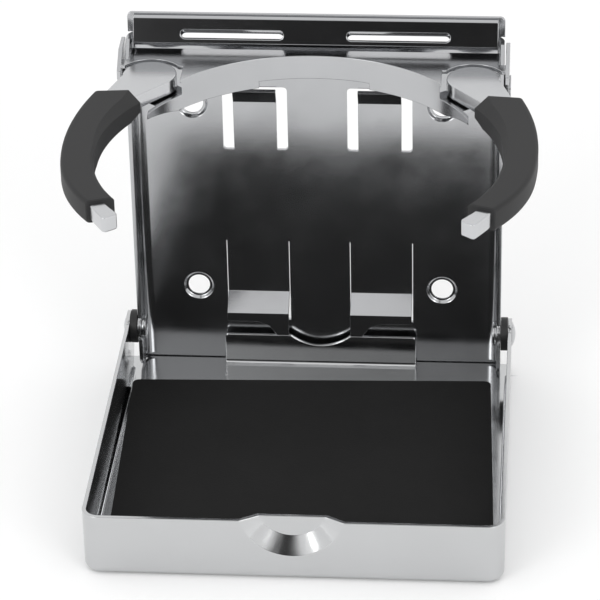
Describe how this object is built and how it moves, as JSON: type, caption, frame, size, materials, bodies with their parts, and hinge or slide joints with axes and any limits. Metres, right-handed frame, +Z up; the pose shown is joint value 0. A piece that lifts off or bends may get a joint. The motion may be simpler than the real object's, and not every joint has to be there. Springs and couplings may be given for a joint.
{
  "type": "folding drink holder",
  "caption": "Wall-mounted folding drink holder with swinging rubber-sleeved arms on a fold-down bracket and a matted fold-up tray.",
  "frame": {"origin": "centre of the four-screw pattern on the rear mounting face", "axes": "+X to the right seen from the front, +Y into the wall, +Z up; the holder stands out from the wall along -Y"},
  "size_m": [0.1344, 0.121, 0.1208],
  "materials": {
    "backplate_steel": "mirror-polished stainless sheet",
    "rail_steel": "mirror-polished stainless strip",
    "bracket_steel": "mirror-polished stainless sheet",
    "tray_steel": "satin-polished stainless sheet",
    "arm_steel": "polished stainless bar",
    "rivet_steel": "polished stainless",
    "pin_steel": "turned stainless",
    "spring_steel": "plain spring steel",
    "nylon_washer": "black nylon",
    "mat_rubber": "matt black foam rubber",
    "sleeve_rubber": "matt dark grey moulded rubber"
  },
  "bodies": {
    "backplate": {"backplate": "backplate_steel", "top_rail": "rail_steel"},
    "bracket_rivets": {"bracket_rivet_left": "rivet_steel", "bracket_rivet_right": "rivet_steel"},
    "arm_bracket": {"arm_bracket": "bracket_steel", "bracket_washer_left": "nylon_washer", "bracket_washer_right": "nylon_washer"},
    "tray_rivets": {"tray_rivet_left": "rivet_steel", "tray_rivet_right": "rivet_steel"},
    "tray": {"tray": "tray_steel", "tray_mat": "mat_rubber", "tray_washer_left": "nylon_washer", "tray_washer_right": "nylon_washer"},
    "left_arm": {"arm_left": "arm_steel", "arm_sleeve_left": "sleeve_rubber", "arm_pin_left": "pin_steel", "arm_washer_left": "nylon_washer", "arm_spring_washer_left": "spring_steel"},
    "right_arm": {"arm_right": "arm_steel", "arm_sleeve_right": "sleeve_rubber", "arm_pin_right": "pin_steel", "arm_washer_right": "nylon_washer", "arm_spring_washer_right": "spring_steel"}
  },
  "joints": [
    {"name": "bracket_rivets_turn", "type": "hinge", "parent": "backplate", "child": "bracket_rivets", "pos_m": [0, -0.008, 0.0425], "axis": [1, 0, 0], "range_deg": [0, 33.5]},
    {"name": "bracket_fold", "type": "hinge", "parent": "bracket_rivets", "child": "arm_bracket", "pos_m": [0, -0.008, 0.0425], "axis": [1, 0, 0], "range_deg": [0, 58]},
    {"name": "tray_rivets_turn", "type": "hinge", "parent": "backplate", "child": "tray_rivets", "pos_m": [0, -0.009, -0.0424], "axis": [-1, 0, 0], "range_deg": [0, 42]},
    {"name": "tray_fold", "type": "hinge", "parent": "tray_rivets", "child": "tray", "pos_m": [0, -0.009, -0.0424], "axis": [-1, 0, 0], "range_deg": [0, 48]},
    {"name": "left_arm_swing", "type": "hinge", "parent": "arm_bracket", "child": "left_arm", "pos_m": [-0.0478, -0.0215, 0.0494], "axis": [0, 0, 1], "range_deg": [0, 31]},
    {"name": "right_arm_swing", "type": "hinge", "parent": "arm_bracket", "child": "right_arm", "pos_m": [0.0478, -0.0215, 0.0494], "axis": [0, 0, -1], "range_deg": [0, 31]}
  ]
}
